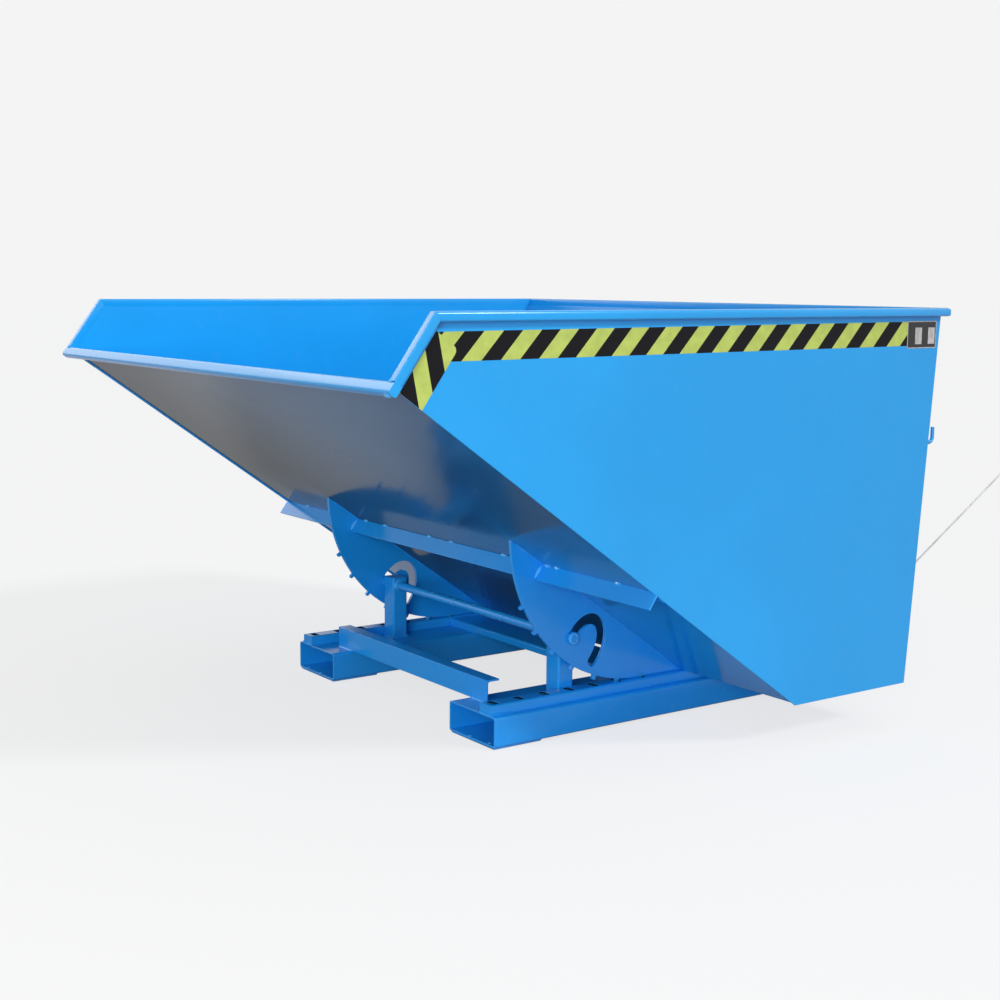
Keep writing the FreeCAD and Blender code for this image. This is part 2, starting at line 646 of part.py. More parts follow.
hook_ring = Part.makeCircle(hook_bar / 2, in_plane(hook_x, hook_start), FreeCAD.Vector(0, 1, 0))
save("rope_hook", hook_path.makePipeShell([Part.Wire(hook_ring)], True, True).cut(rear_wall))

# Hazard tape along the top and cheek of each panel, and a bare plate at the tape's rear end
tape_thickness = 0.4
tape_width = 62.0
tape_below_rim = 16.0
tape_behind_rim = 18.0
plate_length = 112.0
plate_height = 70.0
plate_thickness = 0.8
plate_inset = 14.0
tape_high = rim_under - tape_below_rim
tape_low = tape_high - tape_width
plate_middle = (tape_high + tape_low) / 2
plate_rear = rear_y(plate_middle) + panel_proud - plate_inset
plate_front = plate_rear - plate_length
cheek_front = behind_cheek(rim_depth + tape_behind_rim)
cheek_back = behind_cheek(rim_depth + tape_behind_rim + tape_width)
slope_edge = on_floor(0, panel_proud)
tape_outline = [meet(cheek_front, cheek_run, slope_edge, floor_run)]
tape_outline += [meet(cheek_front, cheek_run, (0, tape_high), (1, 0)), (plate_front, tape_high)]
tape_outline += [(plate_front, tape_low), meet(cheek_back, cheek_run, (0, tape_low), (1, 0))]
tape_outline += [meet(cheek_back, cheek_run, slope_edge, floor_run)]
for side, sign in SIDES.items():
    tape = prism(tape_outline, sign * panel_outer, sign * (panel_outer + tape_thickness))
    save("hazard_tape_" + side, tape)
save("label_plate", block(panel_outer, panel_outer + plate_thickness, plate_front, plate_rear,
                          plate_middle - plate_height / 2, plate_middle + plate_height / 2))
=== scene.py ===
"""Roll-off tipping skip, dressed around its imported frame.

Metres, in the frame of the solids: the front, over which the load slides out, faces -Y, the right side
is +X and +Z is up. The sections follow the skip as it is welded together, from the pockets to the rope.
"""
import bmesh
import bpy
import json
import math
import numpy as np
from mathutils import Matrix, Vector


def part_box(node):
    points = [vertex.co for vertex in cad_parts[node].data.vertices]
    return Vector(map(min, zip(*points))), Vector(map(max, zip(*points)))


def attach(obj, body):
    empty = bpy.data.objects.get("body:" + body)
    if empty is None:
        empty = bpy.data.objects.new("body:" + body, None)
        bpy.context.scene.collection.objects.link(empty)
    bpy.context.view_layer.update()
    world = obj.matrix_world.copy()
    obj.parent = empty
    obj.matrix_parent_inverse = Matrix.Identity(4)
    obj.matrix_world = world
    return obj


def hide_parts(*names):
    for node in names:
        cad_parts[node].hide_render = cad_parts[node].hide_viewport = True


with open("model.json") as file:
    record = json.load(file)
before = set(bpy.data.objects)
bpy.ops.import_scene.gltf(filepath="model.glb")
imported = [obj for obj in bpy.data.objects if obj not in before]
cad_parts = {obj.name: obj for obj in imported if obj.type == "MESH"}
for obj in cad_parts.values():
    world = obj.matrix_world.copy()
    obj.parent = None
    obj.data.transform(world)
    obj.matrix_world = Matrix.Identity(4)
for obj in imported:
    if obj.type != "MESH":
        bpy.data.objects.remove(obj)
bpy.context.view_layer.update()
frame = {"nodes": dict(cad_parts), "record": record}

# The view: a normal lens at about the height of the rim, ahead of the skip and to its right.
# The picture is square, so the focal length is given as a share of its width.
eye = Vector((3.6206, -2.5044, 1.1677))
eye_yaw = 0.95241
eye_pitch = -0.13881
eye_roll = 0.00711
focal_share = 1.57112
lens = bpy.data.cameras.new("view")
lens.lens = focal_share * lens.sensor_width
camera = bpy.data.objects.new("view", lens)
bpy.context.scene.collection.objects.link(camera)
level_share = math.cos(eye_pitch)
ahead = Vector((-math.sin(eye_yaw) * level_share, math.cos(eye_yaw) * level_share, math.sin(eye_pitch)))
level = Vector((math.cos(eye_yaw), math.sin(eye_yaw), 0))
upright = level.cross(ahead)
to_right = level * math.cos(eye_roll) + upright * math.sin(eye_roll)
to_top = upright * math.cos(eye_roll) - level * math.sin(eye_roll)
camera.matrix_world = Matrix.Translation(eye) @ Matrix((to_right, to_top, -ahead)).transposed().to_4x4()
bpy.context.scene.camera = camera
bpy.context.scene.view_settings.view_transform = "Standard"


# The studio: a pale floor and sky, a soft key light from the right, a fill lamp beside the camera and two
# pale cards far out on the left, which only show in the gloss of the paint.
class Shade:
    """A value in a node tree. Sums, differences, products and quotients of values add Math nodes."""

    def __init__(self, tree, socket=None):
        self.tree = tree
        self.socket = socket

    def node(self, kind, settings=None, sockets=None, output=0):
        """Add a node of this kind, set it up, then give its sockets their values or links."""
        made = self.tree.nodes.new("ShaderNode" + kind)
        for key, value in (settings or {}).items():
            setattr(made, key, value)
        for key, value in (sockets or {}).items():
            if isinstance(value, Shade):
                self.tree.links.new(value.socket, made.inputs[key])
            else:
                made.inputs[key].default_value = value
        return Shade(self.tree, made.outputs[output] if made.outputs else None)

    def math(self, operation, first, second=0.0):
        """Add a Math node."""
        return self.node("Math", {"operation": operation}, {0: first, 1: second})

    def __add__(self, other):
        return self.math("ADD", self, other)

    def __sub__(self, other):
        return self.math("SUBTRACT", self, other)

    def __rsub__(self, other):
        return self.math("SUBTRACT", other, self)

    def __mul__(self, other):
        return self.math("MULTIPLY", self, other)

    def __truediv__(self, other):
        return self.math("DIVIDE", self, other)

    __radd__ = __add__
    __rmul__ = __mul__

    def above(self, start, width):
        """0 up to start, 1 from start + width on, and a smooth rise between."""
        limits = {"Value": self, "From Min": start, "From Max": start + width}
        return self.node("MapRange", {"interpolation_type": "SMOOTHSTEP"}, limits)

    def between(self, low, high):
        """1 between two limits, 0 elsewhere."""
        return self.math("GREATER_THAN", self, low) * self.math("LESS_THAN", self, high)

    def blend(self, low, high):
        """The colour low where the value is 0, and high where it is 1."""
        factor, low_end, high_end, colour = 0, 6, 7, 2
        ends = {factor: self, low_end: low, high_end: high}
        return self.node("Mix", {"data_type": "RGBA"}, ends, colour)

    def axis(self, letter):
        """One coordinate of a vector."""
        return self.node("SeparateXYZ", sockets={0: self}, output=letter)

    def noise(self, scale, detail):
        """A noise from 0 to 1 over these coordinates."""
        return self.node("TexNoise", sockets={"Vector": self, "Scale": scale, "Detail": detail})

    def bump(self):
        """The surface's normal, tilted by these heights in metres."""
        return self.node("Bump", sockets={"Height": self, "Strength": 1.0, "Distance": 1.0})


def seen_by_eye(shade):
    """1 on the rays that a picture, a mirror or glass shows, 0 on the rays that only carry light."""
    rays = [shade.node("LightPath", output=name) for name in
            ("Is Camera Ray", "Is Glossy Ray", "Is Transmission Ray")]
    return shade.math("MINIMUM", rays[0] + rays[1] + rays[2], 1.0)


def new_finish(name):
    """A material with an empty node tree, and the shade that fills it."""
    material = bpy.data.materials.new(name)
    material.use_nodes = True
    material.node_tree.nodes.clear()
    return material, Shade(material.node_tree)


pale = (0.905, 0.905, 0.905, 1)
floor_glow = (0.98, 0.98, 0.98, 1)
sky_light = (0.46, 0.47, 0.48, 1)
floor_light = (0.265, 0.285, 0.36, 1)
shadow_fade_share = 0.74
floor_size = 60.0
floor_drop = 0.0006
key_level = 0.46
key_height = math.radians(36)
key_turn = math.radians(-30)
key_softness = math.radians(10)
fill_place = Vector((5.8, -6.2, 2.1))
fill_aim = Vector((0.4, -0.1, 0.5))
fill_size = (2.9, 2.9)
fill_level = 11.4
card_place = Vector((-5.6, -1.7, 3.4))
card_size = (4.6, 4.6)
card_level = 1.4
high_card_place = Vector((-5.0, -2.5, 4.7))
high_card_aim = Vector((0.9, -0.8, 1.0))
high_card_size = (2.4, 2.0)
high_card_level = 1.5

sky = bpy.data.worlds.new("sky")
sky.use_nodes = True
sky.node_tree.nodes.clear()
shade = Shade(sky.node_tree)
sky_glow = shade.node("Background", sockets={"Color": seen_by_eye(shade).blend(sky_light, pale)})
shade.node("OutputWorld", sockets={"Surface": sky_glow})
bpy.context.scene.world = sky

floor_paint, shade = new_finish("pale_floor")
matt = shade.node("BsdfDiffuse", sockets={"Color": seen_by_eye(shade).blend(floor_light, pale)})
glow = shade.node("Emission", sockets={"Color": floor_glow})
to_camera = shade.node("LightPath", output="Is Camera Ray") * shadow_fade_share
both = shade.node("MixShader", sockets={0: to_camera, 1: matt, 2: glow})
shade.node("OutputMaterial", sockets={"Surface": both})
corners = [(-1, -1), (1, -1), (1, 1), (-1, 1)]
floor_points = [(x * floor_size, y * floor_size, -floor_drop) for x, y in corners]
floor_mesh = bpy.data.meshes.new("floor")
floor_mesh.from_pydata(floor_points, [], [list(range(len(corners)))])
floor_mesh.materials.append(floor_paint)
floor = bpy.data.objects.new("floor", floor_mesh)
bpy.context.scene.collection.objects.link(floor)

key = bpy.data.lights.new("key", "SUN")
key.energy = key_level * math.pi
key.angle = key_softness
key_lamp = bpy.data.objects.new("key", key)
from_key = Vector((math.cos(key_height) * math.cos(key_turn), -math.cos(key_height) * math.sin(key_turn),
                   math.sin(key_height)))
key_lamp.rotation_euler = from_key.to_track_quat("Z", "Y").to_euler()
bpy.context.scene.collection.objects.link(key_lamp)


def soft_panel(name, place, aim, size, level):
    """An even rectangular lamp of this radiance at a place, turned towards a point."""
    lamp = bpy.data.lights.new(name, "AREA")
    lamp.shape = "RECTANGLE"
    lamp.size, lamp.size_y = size
    lamp.energy = level * math.pi * size[0] * size[1]
    holder = bpy.data.objects.new(name, lamp)
    holder.location = place
    holder.rotation_euler = (place - aim).to_track_quat("Z", "Y").to_euler()
    holder.visible_camera = False
    bpy.context.scene.collection.objects.link(holder)
    return holder


soft_panel("fill", fill_place, fill_aim, fill_size, fill_level)
card_aim = Vector((0, card_place.y, card_place.z))
card_lamp = soft_panel("card", card_place, card_aim, card_size, card_level)
card_lamp.visible_diffuse = False
high_card_lamp = soft_panel("high_card", high_card_place, high_card_aim, high_card_size, high_card_level)
high_card_lamp.visible_diffuse = False


# Fork pockets: rectangular tubes folded from 5 mm plate, open at both ends, with wear skids welded under.
# They are sprayed blue over everything, and rubbed to bare steel under the skids.
def enamel(name, colour, gloss, wave, soil=0.0, bare_below=None, film_above=None, peel_height=0.000008,
           shaded_inside=None):
    """Blue gloss enamel, sprayed: orange peel, the sheet's slow waves, slight shade changes and fine dust.

    The peel is a fine noise and the waves a slow one, and both are heights for one bump. Soil adds pale
    dust where a middling noise is high. Below the height bare_below the enamel is scratched to steel. In
    the box shaded_inside, given by two corners and taken alike on both sides, it is painted near black:
    painted shade for the dark inside of the rails, seen through their slots. On faces that look down, a
    dark grey film thickens with height from film_above on, in clouds; it is partly thrown-up dust and
    partly painted shade. It starts lower between the rockers, as painted shade under the stiffener, is
    thinner towards the right and is matt in part. Faces that look up are then rubbed dull by the load.
    Rises are given as a start and a width, grains as scale and detail.
    """
    peel_grain = (420.0, 1.0)
    wave_grain = (3.1, 1.0)
    patch_grain = (1.7, 3.0)
    patch_rise = (0.3, 0.4)
    patch_dulls = 0.05
    lighter_share = 1.05
    darker_share = 0.95
    dust = (0.30, 0.40, 0.52, 1)
    dust_grain = (46.0, 6.0)
    dust_rise = (0.56, 0.2)
    dust_dulls = 0.5
    material, shade = new_finish(name)
    place = shade.node("TexCoord", output="Object")
    patch = place.noise(*patch_grain)
    light_blue = tuple(c * lighter_share for c in colour) + (1,)
    dark_blue = tuple(c * darker_share for c in colour) + (1,)
    blue = patch.above(*patch_rise).blend(dark_blue, light_blue)
    dusty = place.noise(*dust_grain).above(*dust_rise) * soil
    tint = dusty.blend(blue, dust)
    rough = gloss + patch * patch_dulls + dusty * dust_dulls
    metal = 0.0
    if bare_below is not None:
        steel = (0.23, 0.23, 0.24, 1)
        steel_roughness = 0.42
        scratch_stretch = (320.0, 9.0, 320.0)
        scratch_grain = (1.0, 4.0)
        scratch_rise = (0.36, 0.16)
        all_bare_share = 0.5
        stretched = shade.node("Mapping", sockets={"Vector": place, "Scale": scratch_stretch})
        low_down = 1 - place.axis("Z").above(bare_below * all_bare_share, bare_below)
        metal = low_down * stretched.noise(*scratch_grain).above(*scratch_rise)
        tint = metal.blend(tint, steel)
        rough = rough + metal * (steel_roughness - gloss)
    # Painted shade: inside the rails' closed channels, seen through the slots, the enamel is painted near
    # black.
    if shaded_inside is not None:
        grime_and_painted_shade = (0.010, 0.022, 0.040, 1)
        from_middle = shade.math("ABSOLUTE", place.axis("X"))
        painted_shade_mask = 1.0
        for value, low, high in zip((from_middle, place.axis("Y"), place.axis("Z")), *shaded_inside):
            painted_shade_mask = value.between(low, high) * painted_shade_mask
        tint = painted_shade_mask.blend(tint, grime_and_painted_shade)
    # The film is partly dust and partly painted shade on the underside, deepest between the rockers and
    # thinner to the right.
    if film_above is not None:
        film = (0.045, 0.042, 0.040, 1)
        film_grain = (2.6, 2.0)
        film_height = 0.34
        film_rise = (0.0, 0.9)
        film_dulls = 0.03
        cloud_middle = 0.5
        cloud_share = 0.8
        lower_between = 0.30
        left_rocker_rise = (-0.47, 0.03)
        right_rocker_rise = (0.44, 0.03)
        film_share = 0.92
        thinner_right_share = 0.32
        thinner_right_rise = (-0.8, 1.3)
        thinner_high_rise = (0.38, 0.12)
        facing_up_rise = (-0.5, 0.3)
        load_dulls = 0.24
        height = place.axis("Z")
        sideways = place.axis("X")
        facing_up = shade.node("TexCoord", output="Normal").axis("Z").above(*facing_up_rise)
        clouds = (place.noise(*film_grain) - cloud_middle) * cloud_share
        between = (1 - sideways.above(*right_rocker_rise)) * sideways.above(*left_rocker_rise)
        thick = (height - film_above + lower_between * between) / film_height + clouds
        thinner_right = sideways.above(*thinner_right_rise) * height.above(*thinner_high_rise) * thinner_right_share
        filmed = thick.above(*film_rise) * (1 - facing_up) * (film_share - thinner_right)
        tint = filmed.blend(tint, film)
        rough = rough + filmed * film_dulls + facing_up * load_dulls
    bump = (place.noise(*peel_grain) * peel_height + place.noise(*wave_grain) * wave).bump()
    finish = shade.node("BsdfPrincipled", sockets={"Base Color": tint, "Roughness": rough, "Metallic": metal,
                                                   "Normal": bump})
    # The matt part of the film dims the gloss as painted shade.
    if film_above is not None:
        matt_most_share = 0.50
        matt_thinner_share = 0.40
        matt_thinner_rise = (-0.95, 1.5)
        matt_film = shade.node("BsdfDiffuse", sockets={"Color": film})
        matt_share = filmed * (matt_most_share - sideways.above(*matt_thinner_rise) * matt_thinner_share)
        finish = shade.node("MixShader", sockets={0: matt_share, 1: finish, 2: matt_film})
    shade.node("OutputMaterial", sockets={"Surface": finish})
    return material


enamel_blue = (0.013, 0.375, 0.85)
# Painted shade: the parts under the bucket get a deeper, more violet copy of the same blue paint.
painted_shade_blue = (0.013, 0.348, 0.91)
# Corners of the rails' closed inside, which is painted near black as painted shade.
rail_slot_painted_shade = ((0.4465, -0.29, 0.084), (0.4835, 0.72, 0.1101))
base_enamel = enamel("base_enamel", painted_shade_blue, gloss=0.17, wave=0.0006, soil=0.06, bare_below=0.0016,
                     shaded_inside=rail_slot_painted_shade)
join_distance = 0.00002
flat_angle = math.radians(0.6)
edge_angle = math.radians(32)
rounding_steps = 3
record = frame["record"]
body_of = {node: body for body, nodes in record["behaviour"]["bodies"].items() for node in nodes}


def finish_edges(piece, width):
    """Smooth shading, and a rounding of this width on every edge sharper than a bend."""
    piece.data.shade_smooth()
    piece.data.set_sharp_from_angle(angle=edge_angle)
    rounding = piece.modifiers.new("rounding", "BEVEL")
    rounding.width = width
    rounding.segments = rounding_steps
    rounding.limit_method = "ANGLE"
    rounding.angle_limit = edge_angle
    rounding.harden_normals = True


def soften(node, width, material):
    """A copy of a solid, its triangles joined into whole faces and its sharp edges rounded like cut plate."""
    mesh = frame["nodes"][node].data.copy()
    mesh.materials.clear()
    mesh.materials.append(material)
    if "custom_normal" in mesh.attributes:
        mesh.attributes.remove(mesh.attributes["custom_normal"])
    shape = bmesh.new()
    shape.from_mesh(mesh)
    bmesh.ops.remove_doubles(shape, verts=shape.verts, dist=join_distance)
    bmesh.ops.dissolve_limit(shape, angle_limit=flat_angle, verts=shape.verts, edges=shape.edges)
    shape.to_mesh(mesh)
    shape.free()
    piece = bpy.data.objects.new(node + "_finished", mesh)
    bpy.context.scene.collection.objects.link(piece)
    finish_edges(piece, width)
    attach(piece, body_of[node])
    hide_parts(node)


plate_rounding = 0.0012
sides = {"left": -1, "right": 1}
for side in sides:
    soften("fork_pocket_" + side, plate_rounding, base_enamel)
    soften("skid_front_" + side, plate_rounding, base_enamel)
    soften("skid_rear_" + side, plate_rounding, base_enamel)

# Slotted rails, cross angle and cross channel: folded plate, stitch welded on top of the pockets.
# The rockers' teeth drop into the rails' slots one after another as the bucket rolls.
for node in ("rail_left", "rail_right", "front_cross_angle", "rear_cross_channel"):
    soften(node, plate_rounding, base_enamel)

# Posts and guide rod: box-section posts beside the rails carry one round bar through both rockers.
# The bar and its collars are rubbed by the rockers, so their paint is a little duller.
rod_enamel = enamel("rod_enamel", painted_shade_blue, gloss=0.24, wave=0.0, soil=0.10)
for side in sides:
    soften("post_" + side, plate_rounding, base_enamel)
soften("guide_rod", plate_rounding, rod_enamel)
soften("rod_collars", plate_rounding, rod_enamel)

# Latch lugs: pairs of upright steel plates with a hole for the latch's shaft.
# They are welded on the rear ends of the pockets and painted with the base.
for side in sides:
    soften("latch_lugs_" + side, plate_rounding, base_enamel)

# Bucket sheets: bottom, sloping floor and leaning rear wall, one folded sheet of 4 mm steel.
# The underside of the floor is the glossiest, and mirrors the rolling gear through a thin dark film that is
# partly dust and partly painted shade.
# Inside, the floor is rubbed dull by the load.
bucket_enamel = enamel("bucket_enamel", enamel_blue, gloss=0.17, wave=0.0011, soil=0.03)
floor_enamel = enamel("floor_enamel", enamel_blue, gloss=0.06, wave=0.0008, film_above=0.30,
                      peel_height=0.0000015)
sheet_enamels = {"bottom_sheet": bucket_enamel, "sloping_floor": floor_enamel, "rear_wall": bucket_enamel}
for node, coat in sheet_enamels.items():
    for holder in frame["nodes"][node].material_slots:
        holder.material = coat
floor_low, floor_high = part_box("sloping_floor")
panel_low, panel_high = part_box("side_panel_right")
rim_low, rim_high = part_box("rim_right")
sheet = panel_high.x - panel_low.x
rim_depth = rim_high.z - rim_low.z
rim_width = rim_high.x - rim_low.x
overhang = rim_high.x - panel_high.x
fold = (floor_high.y, floor_low.z)
run = floor_high.y - floor_low.y
rise = floor_high.z - floor_low.z
# The floor's height holds the sheet's thickness too, so the slope is worked out in two steps
slope = math.atan2(rise - sheet, run)
slope = math.atan2(rise - sheet * math.cos(slope), run)
floor_end = run / math.cos(slope)
floor_length = floor_end + rim_depth
floor_run = (math.cos(slope), -math.sin(slope))


def on_floor(up, out):
    """A side-view point (y, z), by its run up the sloping floor from the fold and its distance below it."""
    return (fold[0] - up * math.cos(slope) - out * math.sin(slope),
            fold[1] + up * math.sin(slope) - out * math.cos(slope))


def meet(p, along_p, q, along_q):
    """The point where two lines of the side view cross, each given by a point and a direction."""
    turn = along_p[0] * along_q[1] - along_p[1] * along_q[0]
    step = ((q[0] - p[0]) * along_q[1] - (q[1] - p[1]) * along_q[0]) / turn
    return (p[0] + step * along_p[0], p[1] + step * along_p[1])


lip_edge = on_floor(floor_length, -sheet)
knee = (rim_low.y, rim_high.z)
cheek_length = math.dist(lip_edge, knee)
cheek_run = ((knee[0] - lip_edge[0]) / cheek_length, (knee[1] - lip_edge[1]) / cheek_length)
cheek_in = (cheek_run[1], -cheek_run[0])


def behind_cheek(distance):
    """A side-view point at this distance behind the cheek's front line, level with the lip's edge."""
    return (lip_edge[0] + distance * cheek_in[0], lip_edge[1] + distance * cheek_in[1])


knee_in = meet(behind_cheek(rim_depth), cheek_run, (0, rim_low.z), (1, 0))
cheek_foot = meet(behind_cheek(rim_depth), cheek_run, on_floor(0, -sheet), floor_run)

# Side panels: flat 4 mm plates, welded on a little proud of the folded sheet all round.
# Their free cut edges are rounded and catch the light as a thin pale line.
proud = fold[1] - panel_low.z
rear_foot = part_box("bottom_sheet")[1].y
rear_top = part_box("rear_wall")[1].y
wall_height = rim_low.z - fold[1]
wall_length = math.hypot(rear_top - rear_foot, wall_height)
lean_run = ((rear_top - rear_foot) / wall_length, wall_height / wall_length)
panel_rear = (rear_foot + proud / lean_run[1], fold[1])
panel_outline = [meet((0, panel_low.z), (1, 0), panel_rear, lean_run),
                 meet((0, panel_low.z), (1, 0), on_floor(0, proud), floor_run),
                 on_floor(floor_end, proud), on_floor(floor_end, -sheet), cheek_foot, knee_in,
                 meet((0, rim_low.z), (1, 0), panel_rear, lean_run)]
heel, toe, nose = 0, 1, 2
top_rear = len(panel_outline) - 1
# Edges by their two corners of the outline, and by one corner twice where they run through the plate
free_edges = [(heel, heel), (toe, toe), (heel, toe), (toe, nose), (heel, top_rear)]


def shell(name, grids, material, body, slot, *nodes):
    """One piece from grids of points: rows along it, each row a closed ring, with a cap at either end.

    The cap of an even ring is a row of quads from one half of the ring to the other, and that of an odd
    ring is one face.
    """
    points = []
    faces = []
    first = 0
    for grid in grids:
        rows, ring = grid.shape[:2]
        index = first + np.arange(rows * ring).reshape(rows, ring)
        after = np.roll(index, -1, axis=1)
        quads = np.stack([index[:-1], after[:-1], after[1:], index[1:]], axis=-1)
        faces += np.concatenate(quads).tolist()
        for ring_end in (index[0, ::-1], index[-1]):
            if ring % 2:
                faces.append(ring_end.tolist())
            else:
                there, back = ring_end[:ring // 2], ring_end[ring // 2:][::-1]
                faces += np.stack([there[:-1], there[1:], back[1:], back[:-1]], axis=-1).tolist()
        points.append(np.concatenate(grid))
        first += rows * ring
    mesh = bpy.data.meshes.new(name)
    mesh.from_pydata(np.concatenate(points).tolist(), [], faces)
    mesh.materials.append(material)
    shape = bmesh.new()
    shape.from_mesh(mesh)
    bmesh.ops.recalc_face_normals(shape, faces=shape.faces)
    shape.to_mesh(mesh)
    shape.free()
    mesh.shade_smooth()
    mesh.set_sharp_from_angle(angle=edge_angle)
    piece = bpy.data.objects.new(name, mesh)
    bpy.context.scene.collection.objects.link(piece)
    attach(piece, body)
    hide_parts(*nodes)
    return piece


def across_x(outline, x_from, x_to):
    """A side-view outline of (y, z) points carried straight across from x_from to x_to."""
    ring = np.array(outline)
    rows = [np.column_stack([np.full(len(ring), x), ring]) for x in (x_from, x_to)]
    return np.stack(rows)


for side, sign in sides.items():
    plate = across_x(panel_outline, sign * panel_low.x, sign * panel_high.x)
    panel = shell("panel_" + side, [plate], bucket_enamel, "bucket", "bucket_paint", "side_panel_" + side)
    finish_edges(panel, plate_rounding)
    ends = np.zeros(len(panel.data.edges) * 2, int)
    panel.data.edges.foreach_get("vertices", ends)
    corner_pairs = np.sort(ends.reshape(-1, 2) % len(panel_outline), axis=1)
    free = (corner_pairs[:, None] == np.array(free_edges)).all(axis=2).any(axis=1)
    rounded = panel.data.attributes.new("bevel_weight_edge", "FLOAT", "EDGE")
    rounded.data.foreach_set("value", free.astype(float))
    panel.modifiers["rounding"].limit_method = "WEIGHT"

# Roll centre: the two spots of the side panels about which the bucket turns while it rolls.
# They are the panels' own steel, kept a little thinner than the plates so that they lie inside them.
roll_low, roll_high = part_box("roll_centre_discs")
roll_skin = 0.001
roll_steps = 24
roll_turn = np.linspace(0, 2 * math.pi, roll_steps, endpoint=False)
roll_radius = (roll_high.z - roll_low.z) / 2 - roll_skin
roll_ring = np.column_stack([(roll_low.y + roll_high.y) / 2 + roll_radius * np.cos(roll_turn),
                             (roll_low.z + roll_high.z) / 2 + roll_radius * np.sin(roll_turn)])
spots = [across_x(roll_ring, sign * (panel_low.x + roll_skin), sign * (panel_high.x - roll_skin))
         for sign in sides.values()]
shell("roll_centre", spots, bucket_enamel, "carriage", "bucket_paint", "roll_centre_discs")


# Welds of the base: short beads of filler metal under the paint, at the feet of the angle, posts, rails
# and lugs, round the rod, and two plug welds to each skid.
bead_ripple = 0.0055
bead_steps = 3
bead_least = 8
bead_sides = 7
bead_off_line = (0.37, 0.61, 0.70)
ripple_share = 0.13
wander_share = 0.10
wander_points = 9
blunt_share = 0.06
ring_steps = 28
lump_rows = 15
lump_columns = 22
lump_pole_share = 0.995
lump_share = 0.16
lump_waves = (3, 4)
lump_draws = 3
weld_seed = 7
draw = np.random.default_rng(weld_seed)


def square_to(path, off_line):
    """Unit vectors at each point of a path: along it, square to it and to off_line, and square to both."""
    onward = np.gradient(path, axis=0)
    onward /= np.linalg.norm(onward, axis=1, keepdims=True)
    first = np.cross(onward, np.array(off_line))
    first /= np.linalg.norm(first, axis=1, keepdims=True)
    return onward, first, np.cross(onward, first)


def bead(corners, width):
    """A weld bead along a line of corner points: a round bar whose thickness swells with each ripple.

    The line is divided evenly, a slow random drift and a sine wave by run set the radius at each step, and
    the ends are rounded off by a square root.
    """
    corners = np.array(corners, float)
    lengths = np.linalg.norm(np.diff(corners, axis=0), axis=1)
    run_at = np.concatenate([[0], np.cumsum(lengths)])
    count = max(int(run_at[-1] / bead_ripple * bead_steps), bead_least)
    along = np.linspace(0, run_at[-1], count)
    path = np.column_stack([np.interp(along, run_at, values) for values in corners.T])
    first, second = square_to(path, bead_off_line)[1:]
    wave = ripple_share * np.sin(2 * math.pi * along / bead_ripple + draw.uniform(0, 1))
    wander_at = np.linspace(0, run_at[-1], wander_points)
    drift = wander_share * np.interp(along, wander_at, draw.uniform(-1, 1, wander_points))
    to_end = np.minimum(along, run_at[-1] - along) / width
    taper = np.sqrt(np.clip(to_end, blunt_share, 1))
    radius = (width / 2 * (1 + wave + drift) * taper)[:, None, None]
    turn = np.linspace(0, 2 * math.pi, bead_sides, endpoint=False)[None, :, None]
    return path[:, None] + radius * (np.cos(turn) * first[:, None] + np.sin(turn) * second[:, None])


def ring_line(middle, radius):
    """Points round a bar that runs across the skip: a circle in the side view."""
    turn = np.linspace(0, 2 * math.pi, ring_steps)
    return np.column_stack([np.full(ring_steps, middle[0]), middle[1] + radius * np.cos(turn),
                            middle[2] + radius * np.sin(turn)])


def mound(middle, axes, reach):
    """A lump of filler: a ball stretched along three directions, its surface pushed in and out by slow waves.

    The waves are a sine by turn times a cosine by height, each at a random phase.
    """
    height = np.linspace(-lump_pole_share, lump_pole_share, lump_rows)[:, None]
    turn = np.linspace(0, 2 * math.pi, lump_columns, endpoint=False)[None, :]
    flat = np.sqrt(1 - height ** 2)
    phase = draw.uniform(0, 2 * math.pi, lump_draws)
    waves = np.sin(lump_waves[0] * turn + phase[0]) * np.cos(lump_waves[1] * height + phase[1])
    swell = 1 - lump_share / 2 + lump_share / 2 * waves
    parts = (flat * np.cos(turn) * swell, flat * np.sin(turn) * swell, (height + 0 * turn) * swell)
    return np.array(middle) + sum(part[..., None] * size * np.array(axis)
                                  for part, size, axis in zip(parts, reach, axes))


pocket_low, pocket_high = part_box("fork_pocket_right")
angle_low, angle_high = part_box("front_cross_angle")
rail_low, rail_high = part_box("rail_right")
post_low, post_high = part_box("post_right")
tray_low, tray_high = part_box("rear_cross_channel")
rod_low, rod_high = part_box("guide_rod")
collar_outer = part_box("rod_collars")[1].x
foot = pocket_high.z
rod_middle = ((rod_low.y + rod_high.y) / 2, (rod_low.z + rod_high.z) / 2)
rod_radius = (rod_high.z - rod_low.z) / 2
weld = 0.011
weld_fine = 0.006
# Painted highlight: welds that catch the light get a paler, glossier blue than the same enamel elsewhere.
weld_highlight_blue = (0.09, 0.50, 0.95)
weld_highlight_enamel = enamel("weld_highlight_enamel", weld_highlight_blue, gloss=0.09, wave=0.0, soil=0.03)
weld_inset = 0.004
rail_stitches = (-0.270, -0.120, 0.050, 0.220, 0.390, 0.560)
stitch = 0.042
plug_spots = ((0.394, -0.297), (0.474, -0.293))
plug_size = (0.0046, 0.0046, 0.0022)
pocket_wall = 0.005
lug_thickness = 0.008
square_axes = ((1, 0, 0), (0, 1, 0), (0, 0, 1))
base_beads = []
highlight_beads = []


def foot_bead(width, *spots):
    """A bead on top of a pocket, along a line of (x, y) spots."""
    return bead([(x, y, foot) for x, y in spots], width)


